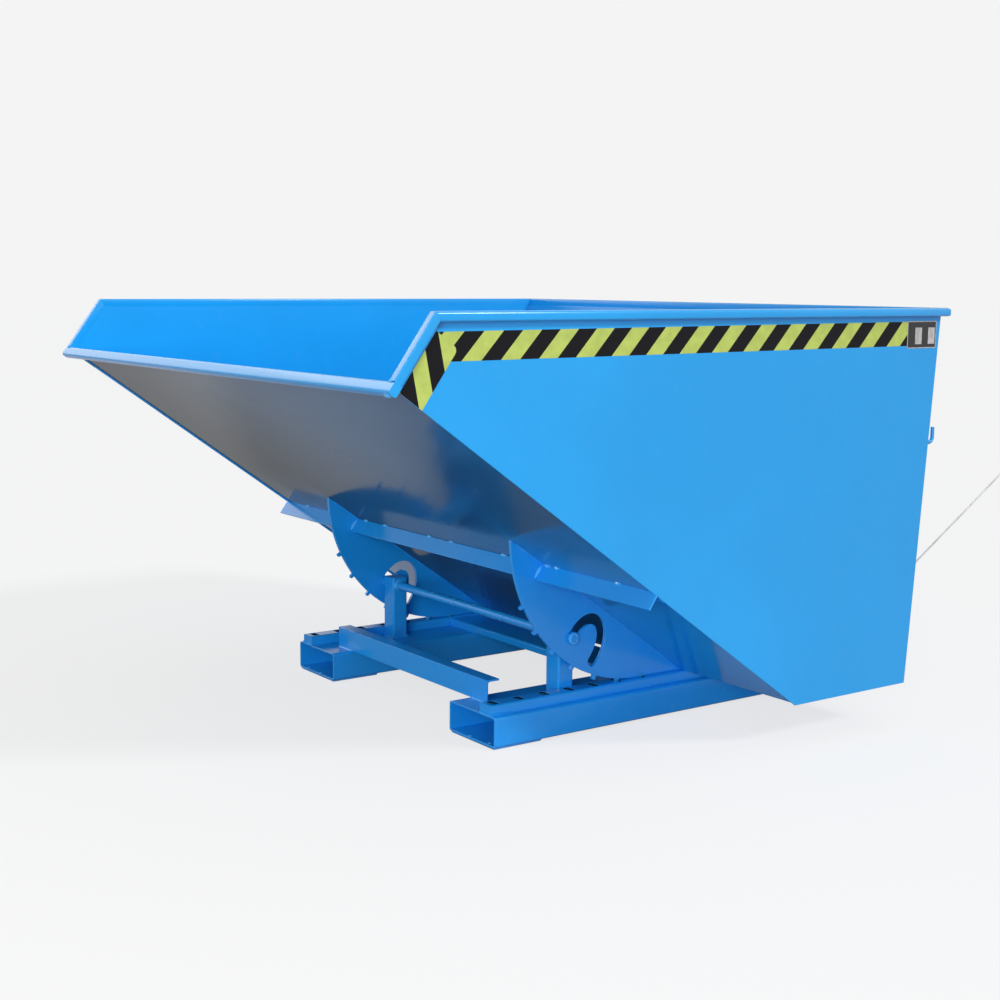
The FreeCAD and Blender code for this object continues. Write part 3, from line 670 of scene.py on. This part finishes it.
for side, sign in sides.items():
    pocket_in = sign * (pocket_low.x + weld_inset)
    rail_in, rail_out = sign * rail_low.x, sign * rail_high.x
    post_in, post_out = sign * post_low.x, sign * post_high.x
    for y in (angle_low.y, angle_low.y + weld_inset):
        highlight_beads.append(foot_bead(weld_fine, (pocket_in, y), (sign * angle_high.x, y)))
    base_beads.append(foot_bead(weld, (rail_in, rail_low.y), (rail_out, rail_low.y),
                                (rail_out, rail_low.y + stitch)))
    for y in rail_stitches:
        for x in (rail_in, rail_out):
            base_beads.append(foot_bead(weld_fine, (x, y), (x, y + stitch)))
    base_beads.append(foot_bead(weld, (post_out, post_low.y), (post_in, post_low.y), (post_in, post_high.y),
                                (post_out, post_high.y)))
    for x in (post_in, sign * collar_outer):
        highlight_beads.append(bead(ring_line((x, *rod_middle), rod_radius), weld_fine))
    for y in (tray_low.y, tray_high.y):
        base_beads.append(foot_bead(weld_fine, (pocket_in, y), (rail_in, y)))
    for x, y in plug_spots:
        highlight_beads.append(mound((sign * x, y, pocket_low.z + pocket_wall), square_axes, plug_size))
    lug_low, lug_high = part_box("latch_lugs_" + side)
    for x in (lug_low.x, lug_low.x + lug_thickness, lug_high.x - lug_thickness, lug_high.x):
        base_beads.append(foot_bead(weld_fine, (x, lug_low.y + weld_inset), (x, lug_high.y - weld_inset)))
shell("base_welds", base_beads, base_enamel, "base", "base_paint")
# The second set of base beads is in the paler blue of the painted highlight.
shell("highlight_welds", highlight_beads, weld_highlight_enamel, "base", "base_paint")

# Rims: steel box sections with rounded corners on the panels' top and cheek edges and on the rear wall.
# They are mitred at the knees and rear corners, welded round and rubbed down.
rim_enamel = enamel("rim_enamel", enamel_blue, gloss=0.16, wave=0.0004, soil=0.03)
rim_corner = 0.0052
rim_top_corner = 0.0078
cheek_corner = 0.0026
rim_seam = 0.0002
groove_width = 0.0022
groove_share = 0.965
box_corners = 4
corner_steps = 7


def rounded_box(width, height, radii):
    """A closed ring of (across, down) points: a quarter circle at each corner of the box.

    The corners are, in turn, far low, near low, near high and far high, each with its own radius.
    """
    quarter = np.linspace(0, math.pi / 2, corner_steps)
    turn = (quarter + math.pi / 2 * np.arange(box_corners)[:, None]).ravel()
    right = np.repeat([1, -1, -1, 1], corner_steps)
    low = np.repeat([1, 1, -1, -1], corner_steps)
    radius = np.repeat(radii, corner_steps)
    across = width / 2 + right * (width / 2 - radius) + radius * np.cos(turn)
    down = height / 2 + low * (height / 2 - radius) + radius * np.sin(turn)
    return np.column_stack([across, down])


def carried(ring, stations):
    """A ring of (across, down) points set at each station, a place with its across and down directions."""
    rows = [np.array(place) + ring[:, :1] * np.array(across) + ring[:, 1:] * np.array(down)
            for place, across, down in stations]
    return np.stack(rows)


def mitred(ring, *stations):
    """A straight tube between two stations, drawn in at either end where its weld was rubbed down."""
    ends = carried(ring, stations)
    length = np.linalg.norm(ends[1].mean(axis=0) - ends[0].mean(axis=0))
    near = groove_width / length
    shares = np.array([0, near, 1 - near, 1])[:, None, None]
    rows = ends[0] * (1 - shares) + ends[1] * shares
    middles = rows.mean(axis=1, keepdims=True)
    sizes = np.array([groove_share, 1, 1, groove_share])[:, None, None]
    return middles + (rows - middles) * sizes


rim_ring = rounded_box(rim_width, rim_depth, [rim_corner, rim_seam, rim_corner, rim_top_corner])
cheek_ring = rounded_box(rim_width, rim_depth, [rim_corner, rim_seam, cheek_corner, cheek_corner])
rear_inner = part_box("rim_rear")[0].y
knee_down = (0, (knee_in[0] - knee[0]) / rim_depth, (knee_in[1] - knee[1]) / rim_depth)
foot_down = (0, (cheek_foot[0] - lip_edge[0]) / rim_depth, (cheek_foot[1] - lip_edge[1]) / rim_depth)
plumb = (0, 0, -1)
rear_stations = []
for side, sign in sides.items():
    outward = (sign, 0, 0)
    rim_inner = sign * rim_low.x
    foot_station = ((rim_inner, *lip_edge), outward, foot_down)
    knee_station = ((rim_inner, *knee), outward, knee_down)
    rear_station = ((rim_inner, rear_inner, rim_high.z), (sign, 1, 0), plumb)
    rear_stations.append(rear_station)
    shell("rim_tube_" + side, [mitred(rim_ring, knee_station, rear_station)], rim_enamel,
          "bucket", "rim_paint", "rim_" + side)
    shell("cheek_tube_" + side, [mitred(cheek_ring, foot_station, knee_station)], rim_enamel,
          "bucket", "rim_paint", "cheek_rim_" + side)
shell("rim_tube_rear", [mitred(rim_ring, *rear_stations)], rim_enamel, "bucket", "rim_paint", "rim_rear")

# Front lip: a closed steel box section welded under the pouring edge, as wide as the rims.
# Its ends are plated shut and ground round under the paint.
lip_end_rounding = 0.0022
lip_extra = 0.004
lip_corner = 0.0067
lip_depth = sheet + overhang + lip_extra
lip_ring = rounded_box(rim_depth, lip_depth, [lip_corner, rim_corner, rim_corner, rim_corner])
lip_place = on_floor(floor_end, -sheet)
up_slope = (0, -math.cos(slope), math.sin(slope))
out_slope = (0, -math.sin(slope), -math.cos(slope))
lip_stations = [((sign * rim_high.x, *lip_place), up_slope, out_slope) for sign in sides.values()]
lip = shell("lip_tube", [carried(lip_ring, lip_stations)], rim_enamel, "bucket", "rim_paint",
            "front_lip", "lip_end_caps")
finish_edges(lip, lip_end_rounding)

# Rockers and floor stiffener: 10 mm plates that roll on the rails, and an angle across the floor that
# they are slotted over. All are flame cut, so their edges are a little round under the paint.
# The rockers take the deeper blue of painted shade, like the base.
rocker_enamel = enamel("rocker_enamel", painted_shade_blue, gloss=0.14, wave=0.0007, soil=0.04)
cut_rounding = 0.0014
for node in ("rocker_left", "rocker_right", "stiffener_left", "stiffener_centre", "stiffener_right"):
    soften(node, cut_rounding, rocker_enamel)

# Welds of the bucket: seams of panels, floor, rockers and keepers, and stitches along the stiffener.
# A bead runs along the foot of each cheek, and a knuckle of filler was left under the lip's right end.
rocker_low, rocker_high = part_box("rocker_right")
stiffener_leg = 0.045
web_run = 0.588
rocker_tip_run = (fold[0] - rocker_low.y) / math.cos(slope)
rocker_heel_run = 0.06
seam_clear = 0.02
seam_lift = 0.0005
web_stitches = (-0.77, -0.53, -0.49, -0.41, -0.30, -0.06, 0.05, 0.30, 0.49, 0.53, 0.77)
web_stitch = 0.022
lip_knuckle = (0.0190, 0.0126, 0.0172)
lip_knuckle_inset = 0.0198
lip_knuckle_out = 0.0124
lip_knuckle_up = 0.009
bucket_beads = []
stiffener_beads = []
rim_beads = []


def at_floor(x, up, out):
    """A point in space, by its run up the sloping floor and its distance below it."""
    return (x, *on_floor(up, out))


for side, sign in sides.items():
    inner = sign * panel_low.x
    seam_ends = (seam_clear, floor_end - seam_clear)
    bucket_beads.append(bead([at_floor(inner, up, 0) for up in seam_ends], weld_fine))
    bucket_beads.append(bead([(inner, rear_foot, fold[1]), (inner, rear_top, rim_low.z)], weld_fine))
    bucket_beads.append(bead([(inner, *fold), (inner, rear_foot, fold[1])], weld_fine))
    for x in (sign * rocker_low.x, sign * rocker_high.x):
        seam_ends = (rocker_heel_run, rocker_tip_run - seam_clear)
        bucket_beads.append(bead([at_floor(x, up, 0) for up in seam_ends], weld_fine))
        leg_ends = (weld_fine, stiffener_leg - weld_fine)
        stiffener_beads.append(bead([at_floor(x, web_run, out) for out in leg_ends], weld))
    keeper_low, keeper_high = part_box("keeper_" + side)
    for z in (keeper_low.z, keeper_high.z):
        y = rear_foot + (z - fold[1]) * lean_run[0] / lean_run[1]
        bucket_beads.append(bead([(keeper_low.x, y, z), (keeper_high.x, y, z)], weld_fine))
    if side == "right":
        knuckle = at_floor(rim_high.x - lip_knuckle_inset, floor_end + lip_knuckle_up, lip_knuckle_out)
        rim_beads.append(mound(knuckle, ((1, 0, 0), up_slope, out_slope), lip_knuckle))
    foot_line = [at_floor(sign * x, floor_length, -sheet) for x in (rim_low.x, rim_high.x - weld)]
    rim_beads.append(bead(foot_line, weld))
for x in web_stitches:
    stitch_ends = (x - web_stitch / 2, x + web_stitch / 2)
    stiffener_beads.append(bead([at_floor(end, web_run, seam_lift) for end in stitch_ends], weld))
rim_beads.append(bead([at_floor(-panel_low.x, floor_end, 0), at_floor(panel_low.x, floor_end, 0)], weld_fine))
shell("bucket_welds", bucket_beads, rocker_enamel, "bucket", "bucket_paint")
# Stiffener and rim beads are in the paler blue of the painted highlight.
shell("stiffener_welds", stiffener_beads, weld_highlight_enamel, "bucket", "bucket_paint")
shell("rim_welds", rim_beads, weld_highlight_enamel, "bucket", "rim_paint")

# Keepers and rope hook: two small steel plates that the latch's hooks hold, and a bent bar on which the
# rope is hung up. They are welded to the rear wall and painted with the bucket.
for node in ("keeper_left", "keeper_right", "rope_hook"):
    soften(node, plate_rounding, bucket_enamel)

# Latch: one round shaft in the lugs with a hook over each keeper, collars and the lever that the rope pulls.
# Hooks and lever are cut from plate and welded round the shaft on both faces.
latch_enamel = enamel("latch_enamel", enamel_blue, gloss=0.16, wave=0.0004, soil=0.08)
shaft_low, shaft_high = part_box("latch_shaft")
shaft_middle = ((shaft_low.y + shaft_high.y) / 2, (shaft_low.z + shaft_high.z) / 2)
shaft_radius = (shaft_high.z - shaft_low.z) / 2
shaft_plates = ("latch_hook_left", "latch_hook_right", "latch_lever")
for node in ("latch_shaft", "shaft_collars", *shaft_plates):
    soften(node, plate_rounding, latch_enamel)
latch_beads = [bead(ring_line((corner.x, *shaft_middle), shaft_radius), weld_fine)
               for node in shaft_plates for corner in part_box(node)]
shell("latch_welds", latch_beads, latch_enamel, "latch", "latch_paint")

# Hazard tape: striped vinyl along the top and down the cheek of each panel. The cheek's length is stuck on
# last, over the front end of the top one, whose run is a trifle out of level. Bands of 50 mm lean on both.
band_pitch = 0.1008
band_lean_share = 0.94
tape_yellow = (0.56, 0.665, 0.15, 1)
tape_black = (0.007, 0.0065, 0.008, 1)


def striped_vinyl():
    """Bands across the tape by its own map of run along and distance across, with dirt and small creases."""
    mottle_grain = (38.0, 5.0)
    mottle_rise = (0.3, 0.4)
    crease_grain = (17.0, 2.0)
    crease_height = 0.0006
    yellow_share = 0.5
    dull_share = 0.86
    vinyl_roughness = 0.45
    mottle_dulls = 0.2
    vinyl_shine = 0.12
    material, shade = new_finish("striped_vinyl")
    spread = shade.node("TexCoord", output="UV")
    place = shade.node("TexCoord", output="Object")
    mottle = place.noise(*mottle_grain)
    band = shade.math("FRACT", (spread.axis("X") - spread.axis("Y") * band_lean_share) / band_pitch)
    black = shade.math("GREATER_THAN", band, yellow_share)
    dull_yellow = tuple(c * dull_share for c in tape_yellow[:-1]) + (1,)
    yellow = mottle.above(*mottle_rise).blend(dull_yellow, tape_yellow)
    tint = black.blend(yellow, tape_black)
    rough = vinyl_roughness + mottle * mottle_dulls
    bump = (place.noise(*crease_grain) * crease_height).bump()
    finish = shade.node("BsdfPrincipled", sockets={"Base Color": tint, "Roughness": rough, "Normal": bump,
                                                   "Specular IOR Level": vinyl_shine})
    shade.node("OutputMaterial", sockets={"Surface": finish})
    return material


vinyl = striped_vinyl()
tape_low, tape_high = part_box("hazard_tape_right")
plate_low, plate_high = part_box("label_plate")
tape_thickness = tape_high.x - tape_low.x
tape_width = 0.062
cheek_tape_width = 0.066
cheek_tape_behind = 0.0115
cheek_tape_end = 0.145
cheek_band_start = 0.0775
cheek_band_pitch = 0.1042
flap_corner = 0.013
top_band_start = -0.6736
top_drop = 0.0045
top_tilt = 0.0049
tape_ahead = 0.0105
tape_rows = 48
tape_columns = 14


def tape_strip(sign, start, along, width, ends, lift, corner=0.0):
    """A flat strip on a panel: each row runs across it, and its ends may be cut on the slant.

    start is a side-view point on the strip's lower edge, along is its direction, and ends gives the run at
    which it begins and stops at that edge and at the other. The last corner of the lower edge is rounded.
    Returns the points and their map of run and distance across.
    """
    over = (-along[1], along[0])
    share = np.linspace(0, 1, tape_rows)[:, None]
    half = np.linspace(0, 1, tape_columns) ** 2
    over_share = np.concatenate([half, half[::-1]])[None, :]
    high = np.repeat([1, 0], tape_columns)[None, :]
    into_corner = np.clip(corner - over_share * width, 0, None)
    cut_away = corner - np.sqrt(corner ** 2 - into_corner ** 2)
    first, last = [low_end + (high_end - low_end) * over_share for low_end, high_end in ends]
    run_along = first + (last - cut_away - first) * share
    run_over = over_share * width + 0 * run_along
    y = start[0] + run_along * along[0] + run_over * over[0]
    z = start[1] + run_along * along[1] + run_over * over[1]
    x = sign * (tape_low.x + lift + high * tape_thickness) + 0 * y
    return np.stack([x, y, z], axis=-1), np.stack([run_along, run_over], axis=-1)


def run_up_cheek(point):
    """How far up the cheek's direction a side-view point lies from the lip's edge."""
    return (point[0] - lip_edge[0]) * cheek_run[0] + (point[1] - lip_edge[1]) * cheek_run[1]


tape_front = rim_depth + cheek_tape_behind
tape_back = tape_front + cheek_tape_width
foot_runs = [run_up_cheek(meet(behind_cheek(distance), cheek_run, on_floor(0, proud), floor_run))
             for distance in (tape_back, tape_front)]
cheek_ends = (foot_runs, [cheek_tape_end] * 2)
top_run = (math.cos(top_tilt), math.sin(top_tilt))
top_start = (knee_in[0], tape_high.z - tape_width - top_drop)
yellow_from = top_band_start - knee_in[0] + tape_width * band_lean_share - band_pitch
top_ends = ([yellow_from - tape_width, yellow_from - tape_ahead], [plate_low.y - knee_in[0]] * 2)
for side, sign in sides.items():
    top_points, top_map = tape_strip(sign, top_start, top_run, tape_width, top_ends, 0)
    cheek_points, cheek_map = tape_strip(sign, behind_cheek(tape_back), cheek_run, cheek_tape_width,
                                         cheek_ends, tape_thickness, flap_corner)
    tape = shell("tape_" + side, [top_points, cheek_points], vinyl, "bucket", "hazard_tape",
                 "hazard_tape_" + side)
    top_map[..., 0] -= top_band_start - knee_in[0]
    cheek_map[..., 0] += tape_back * band_lean_share - cheek_band_start
    cheek_map *= band_pitch / cheek_band_pitch
    spread = np.concatenate([*top_map, *cheek_map])
    corner_vertex = np.zeros(len(tape.data.loops), int)
    tape.data.loops.foreach_get("vertex_index", corner_vertex)
    tape.data.uv_layers.new(name="tape").data.foreach_set("uv", spread[corner_vertex].ravel())

# Label plate: a thin black plastic plate with a pale edge and two plain pale fields, printed on it.
# It is stuck flat on the right panel at the rear end of the tape.
plate_edge = 0.0022
field_shares = ((0.27, 0.50), (0.72, 0.95))
field_low_share = 0.15
field_high_share = 0.76


def plate_print():
    """Black with a pale border line and two pale fields, placed by the side-view place on the plate."""
    plate_black = (0.016, 0.015, 0.017, 1)
    soiled_field = (0.42, 0.40, 0.38, 1)
    clean_field = (0.60, 0.57, 0.54, 1)
    grime_grain = (90.0, 4.0)
    grime_rise = (0.3, 0.4)
    plate_roughness = 0.3
    grime_dulls = 0.2
    material, shade = new_finish("printed_plate")
    place = shade.node("TexCoord", output="Object")
    y = place.axis("Y")
    z = place.axis("Z")
    length = plate_high.y - plate_low.y
    height = plate_high.z - plate_low.z
    tall = z.between(plate_low.z + field_low_share * height, plate_low.z + field_high_share * height)
    fields = [y.between(plate_low.y + low * length, plate_low.y + high * length) * tall
              for low, high in field_shares]
    middle = y.between(plate_low.y + plate_edge, plate_high.y - plate_edge)
    middle = middle * z.between(plate_low.z + plate_edge, plate_high.z - plate_edge)
    grime_and_painted_shade = place.noise(*grime_grain)
    printed = shade.math("MAXIMUM", fields[0] + fields[1], 1 - middle)
    light = grime_and_painted_shade.above(*grime_rise).blend(soiled_field, clean_field)
    tint = printed.blend(plate_black, light)
    rough = plate_roughness + grime_and_painted_shade * grime_dulls
    finish = shade.node("BsdfPrincipled", sockets={"Base Color": tint, "Roughness": rough})
    shade.node("OutputMaterial", sockets={"Surface": finish})
    return material


label_ring = rounded_box(plate_high.y - plate_low.y, plate_high.z - plate_low.z, [plate_edge] * box_corners)
label_ring = label_ring + np.array([plate_low.y, plate_low.z])
shell("label", [across_x(label_ring, plate_low.x, plate_high.x)], plate_print(), "bucket", "label_plate",
      "label_plate")

# Release rope: white three-strand cord of synthetic fibre, laid by twisting. It is tied in an eye through
# the latch's lever, is drawn taut to the rear and ends in a knot.
rope_diameter = 0.006
rope_run = 0.690
rope_rise = math.radians(32.2)
rope_lay = 0.036
rope_strands = 3
rope_loop_radius = 0.014
rope_end_diameters = 6
rope_steps = 96
rope_order = 3
loop_steps = 72
strand_steps = 8
strand_share = 0.54
strand_off_line = (0.31, 0.52, -0.79)
knot_length = 0.024
knot_reach = 0.0020
knot_lobes = 3
knot_swing_share = 0.25
knot_steps = 96
rope_heading = np.array([0, math.cos(rope_rise), math.sin(rope_rise)])
rope_square = np.array([0, -math.sin(rope_rise), math.cos(rope_rise)])
rope_side = np.array([1.0, 0, 0])
loop_low, loop_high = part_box("rope_loop")
loop_middle = (np.array(loop_low) + np.array(loop_high)) / 2
rope_start = loop_middle + rope_heading * (rope_loop_radius + rope_diameter / 2)


def white_cord():
    """White twisted fibre: fine yarns by a close noise, greyed a little by use."""
    clean_white = (0.84, 0.82, 0.78, 1)
    used_white = (0.68, 0.66, 0.62, 1)
    use_grain = (20.0, 3.0)
    use_rise = (0.35, 0.35)
    yarn_grain = (900.0, 3.0)
    yarn_height = 0.0003
    yarn_dulls = 0.1
    cord_roughness = 0.75
    material, shade = new_finish("white_cord")
    place = shade.node("TexCoord", output="Object")
    yarn = place.noise(*yarn_grain)
    tint = place.noise(*use_grain).above(*use_rise).blend(clean_white, used_white)
    rough = cord_roughness + yarn * yarn_dulls
    bump = (yarn * yarn_height).bump()
    finish = shade.node("BsdfPrincipled", sockets={"Base Color": tint, "Roughness": rough, "Normal": bump})
    shade.node("OutputMaterial", sockets={"Surface": finish})
    return material


def strands(path):
    """The cord's strands, wound round a path: each is a helix about it, one turn in every lay."""
    run_at = np.concatenate([[0], np.cumsum(np.linalg.norm(np.diff(path, axis=0), axis=1))])
    onward, side_on, square_on = square_to(path, strand_off_line)
    ring = np.linspace(0, 2 * math.pi, strand_steps, endpoint=False)[None, :, None]
    radius = rope_diameter / 2
    strand = radius * strand_share
    grids = []
    for number in range(rope_strands):
        turn = (2 * math.pi * run_at / rope_lay + 2 * math.pi * number / rope_strands)[:, None]
        outward = np.cos(turn) * side_on + np.sin(turn) * square_on
        sideward = np.cross(onward, outward)
        middle = path + (radius - strand) * outward
        round_it = np.cos(ring) * outward[:, None] + np.sin(ring) * sideward[:, None]
        grids.append(middle[:, None] + strand * round_it)
    return grids


def spline_points(points):
    """Points read from a NURBS curve that has these control points."""
    curve = bpy.data.curves.new("route", "CURVE")
    curve.dimensions = "3D"
    curve.resolution_u = rope_steps
    spline = curve.splines.new("NURBS")
    spline.points.add(len(points) - 1)
    spline.points.foreach_set("co", np.column_stack([points, np.ones(len(points))]).ravel())
    spline.order_u = rope_order
    spline.use_endpoint_u = True
    holder = bpy.data.objects.new("route", curve)
    line = bpy.data.meshes.new_from_object(holder)
    width = points.shape[1]
    found = np.zeros(len(line.vertices) * width)
    line.vertices.foreach_get("co", found)
    bpy.data.objects.remove(holder)
    bpy.data.meshes.remove(line)
    return found.reshape(-1, width)


cord_fibre = white_cord()
rope_ends = rope_end_diameters * rope_diameter
rope_route = np.array([rope_start + rope_heading * along
                       for along in (0, rope_ends, rope_run - rope_ends, rope_run)])
rope_path = spline_points(rope_route)
rope = shell("rope", strands(rope_path), cord_fibre, "latch", "rope", "release_rope")
loop_turn = np.linspace(0, 2 * math.pi, loop_steps)[:, None]
loop_round = np.cos(loop_turn) * rope_heading + np.sin(loop_turn) * rope_side
loop_path = loop_middle + rope_loop_radius * loop_round
loop = shell("rope_eye", strands(loop_path), cord_fibre, "latch", "rope", "rope_loop")
# The knot is a trefoil: sin t + 2 sin 2t across, cos t - 2 cos 2t over, and - sin 3t along the rope
knot_turn = np.linspace(0, 2 * math.pi, knot_steps)[:, None]
knot_across = knot_reach * (np.sin(knot_turn) + 2 * np.sin(2 * knot_turn))
knot_over = knot_reach * (np.cos(knot_turn) - 2 * np.cos(2 * knot_turn))
knot_along = knot_length / 2 - knot_length * knot_swing_share * np.sin(knot_lobes * knot_turn)
knot_path = rope_route[-1] + knot_across * rope_side + knot_over * rope_square + knot_along * rope_heading
knot = shell("rope_end_knot", strands(knot_path), cord_fibre, "latch", "rope", "rope_knot")
